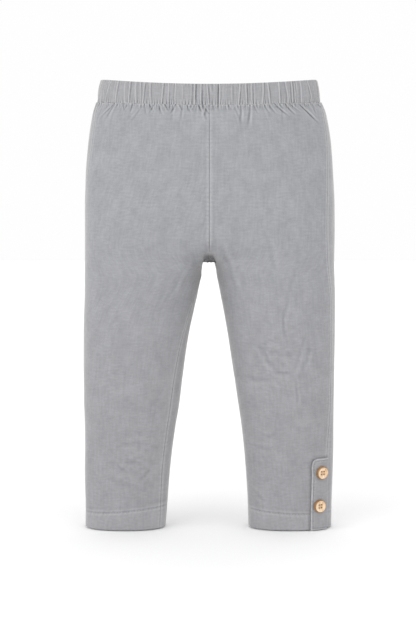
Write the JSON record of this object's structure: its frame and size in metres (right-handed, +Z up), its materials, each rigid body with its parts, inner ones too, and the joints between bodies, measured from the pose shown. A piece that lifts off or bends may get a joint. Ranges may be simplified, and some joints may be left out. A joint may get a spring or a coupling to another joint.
{
  "type": "trousers",
  "caption": "Child's cropped pull-on trousers with a gathered elastic waistband, tapering hollow legs and a button tab with wooden buttons at the wearer's left hem.",
  "frame": {"origin": "middle of the waistband, halfway up its height at the sides, in the middle of the waist opening", "axes": "+Z up the garment, -Y the front, +X the wearer's left"},
  "size_m": [0.2686, 0.1469, 0.4781],
  "materials": {
    "cloth": "matte brushed cotton",
    "waistband": "matte brushed cotton, gathered over elastic",
    "wood": "turned, lightly waxed"
  },
  "bodies": {
    "root": {"front_left": "cloth", "front_right": "cloth", "back_left": "cloth", "back_right": "cloth", "waistband": "waistband", "placket": "cloth", "button_upper": "wood", "button_lower": "wood"}
  },
  "joints": []
}
